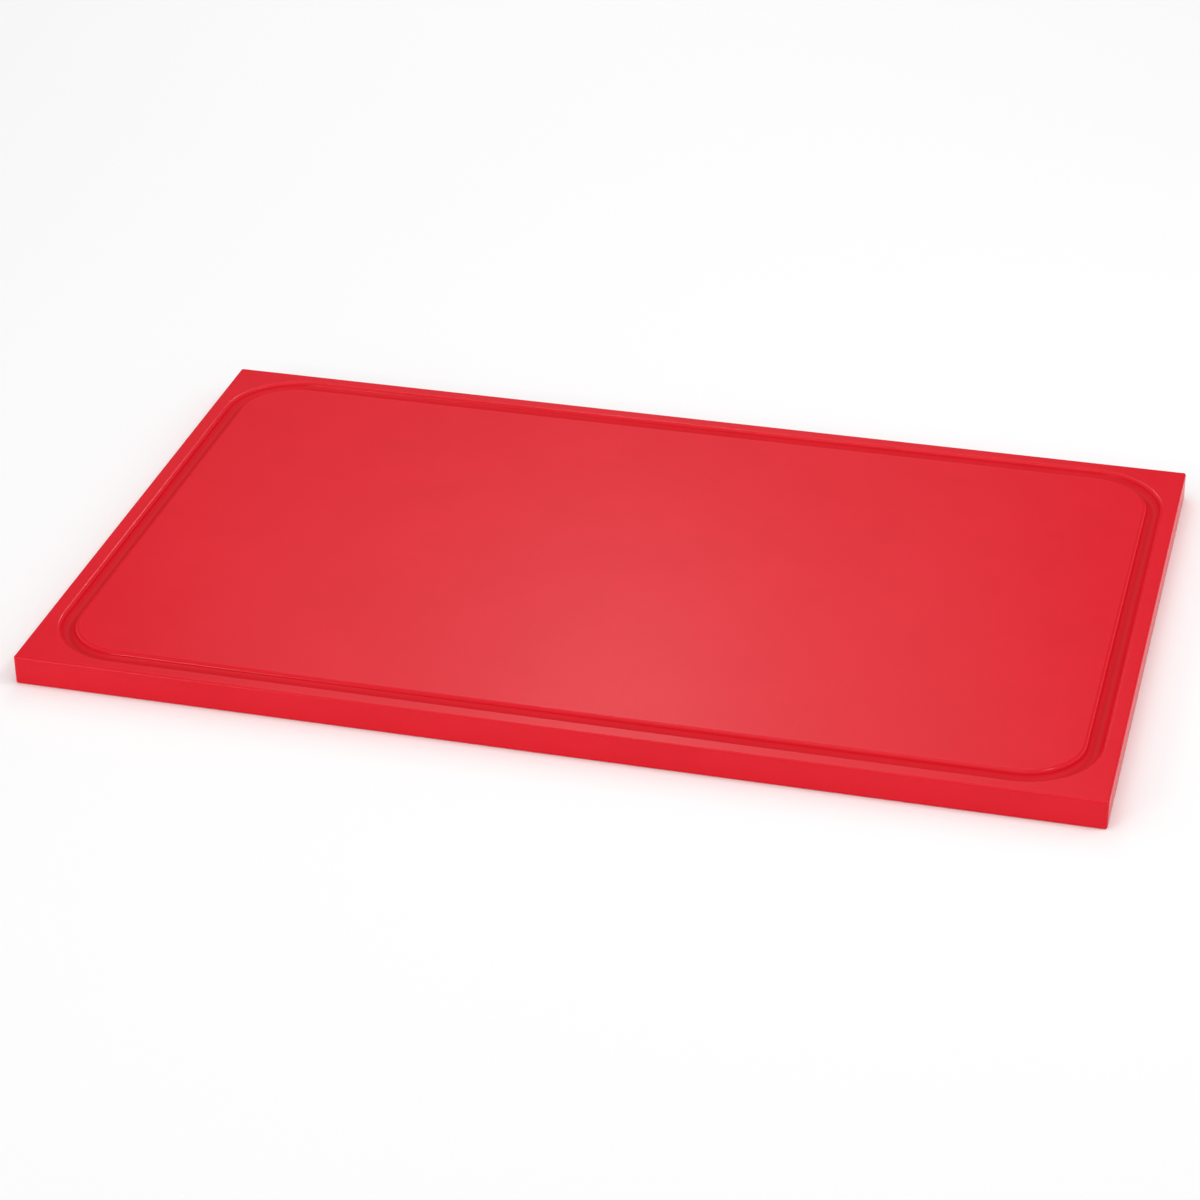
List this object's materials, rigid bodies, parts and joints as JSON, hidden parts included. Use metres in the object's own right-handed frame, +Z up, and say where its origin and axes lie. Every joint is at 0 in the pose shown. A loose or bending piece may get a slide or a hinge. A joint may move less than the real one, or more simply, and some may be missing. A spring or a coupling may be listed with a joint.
{
  "type": "cutting board",
  "caption": "Flat rectangular plastic cutting board with rounded rims and a juice groove running round its work face.",
  "frame": {"origin": "middle of the underside, on the surface that the board lies on", "axes": "+X along the board's length, +Y across its width, +Z up out of the grooved work face"},
  "size_m": [0.53, 0.325, 0.015],
  "materials": {
    "red_polyethylene": "satin, with fine planing marks across the board"
  },
  "bodies": {
    "root": {"board_slab": "red_polyethylene"}
  },
  "joints": []
}
